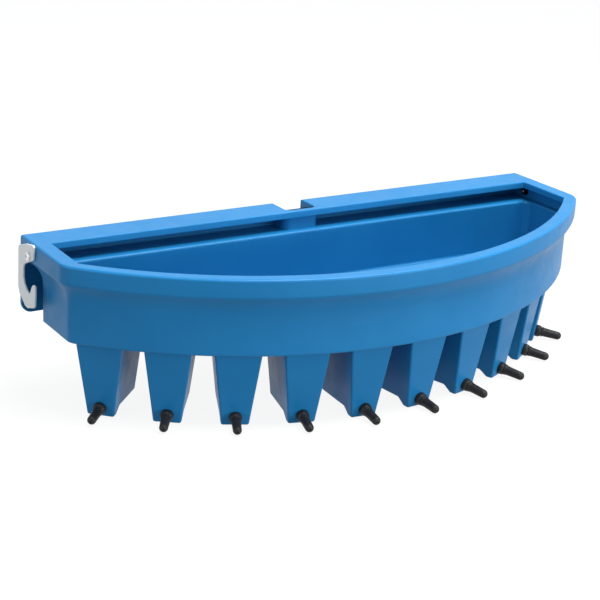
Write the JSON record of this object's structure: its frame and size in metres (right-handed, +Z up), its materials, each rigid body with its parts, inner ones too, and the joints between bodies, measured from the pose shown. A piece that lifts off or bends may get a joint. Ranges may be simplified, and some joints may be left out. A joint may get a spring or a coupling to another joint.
{
  "type": "multi teat lamb feeder",
  "caption": "D-shaped moulded trough that hangs over a rail by its back channel and swing hooks, with hollow legs that each lead milk to a rubber teat.",
  "frame": {"origin": "bottom centre of the part's box, on the plane of the legs' feet", "axes": "+Z up, +X along the rail to the feeder's left-hand end as seen from behind, -Y towards the teats"},
  "size_m": [0.923, 0.3675, 0.236],
  "materials": {
    "trough_plastic": "satin moulded polyethylene",
    "teat_rubber": "matt black rubber",
    "collar_plastic": "satin black",
    "stem_plastic": "satin black",
    "seal_rubber": "red-brown rubber",
    "hook_plastic": "white nylon",
    "fastener_steel": "plain stainless steel",
    "fastener_black": "blackened steel"
  },
  "bodies": {
    "trough": {"trough_body": "trough_plastic", "teat_01": "teat_rubber", "teat_02": "teat_rubber", "teat_03": "teat_rubber", "teat_04": "teat_rubber", "teat_05": "teat_rubber", "teat_06": "teat_rubber", "teat_07": "teat_rubber", "teat_08": "teat_rubber", "teat_09": "teat_rubber", "teat_10": "teat_rubber", "teat_collar_01": "collar_plastic", "teat_collar_02": "collar_plastic", "teat_collar_03": "collar_plastic", "teat_collar_04": "collar_plastic", "teat_collar_05": "collar_plastic", "teat_collar_06": "collar_plastic", "teat_collar_07": "collar_plastic", "teat_collar_08": "collar_plastic", "teat_collar_09": "collar_plastic", "teat_collar_10": "collar_plastic", "teat_stem_01": "stem_plastic", "teat_stem_02": "stem_plastic", "teat_stem_03": "stem_plastic", "teat_stem_04": "stem_plastic", "teat_stem_05": "stem_plastic", "teat_stem_06": "stem_plastic", "teat_stem_07": "stem_plastic", "teat_stem_08": "stem_plastic", "teat_stem_09": "stem_plastic", "teat_stem_10": "stem_plastic", "stem_seal_01": "seal_rubber", "stem_seal_02": "seal_rubber", "stem_seal_03": "seal_rubber", "stem_seal_04": "seal_rubber", "stem_seal_05": "seal_rubber", "stem_seal_06": "seal_rubber", "stem_seal_07": "seal_rubber", "stem_seal_08": "seal_rubber", "stem_seal_09": "seal_rubber", "stem_seal_10": "seal_rubber", "hook_bolt_left": "fastener_steel", "hook_bolt_right": "fastener_steel", "hook_washer_left": "fastener_steel", "hook_washer_right": "fastener_steel", "nut_washer_left": "fastener_black", "nut_washer_right": "fastener_black", "hook_nut_left": "fastener_black", "hook_nut_right": "fastener_black"},
    "hook_left": {"hook_left": "hook_plastic"},
    "hook_right": {"hook_right": "hook_plastic"}
  },
  "joints": [
    {"name": "hook_left_swing", "type": "hinge", "parent": "trough", "child": "hook_left", "pos_m": [-0.45609, 0.14383, 0.215], "axis": [0.999, -0.0436, 0], "range_deg": [0, 110]},
    {"name": "hook_right_swing", "type": "hinge", "parent": "trough", "child": "hook_right", "pos_m": [0.45609, 0.14383, 0.215], "axis": [0.999, 0.0436, 0], "range_deg": [0, 110]}
  ]
}
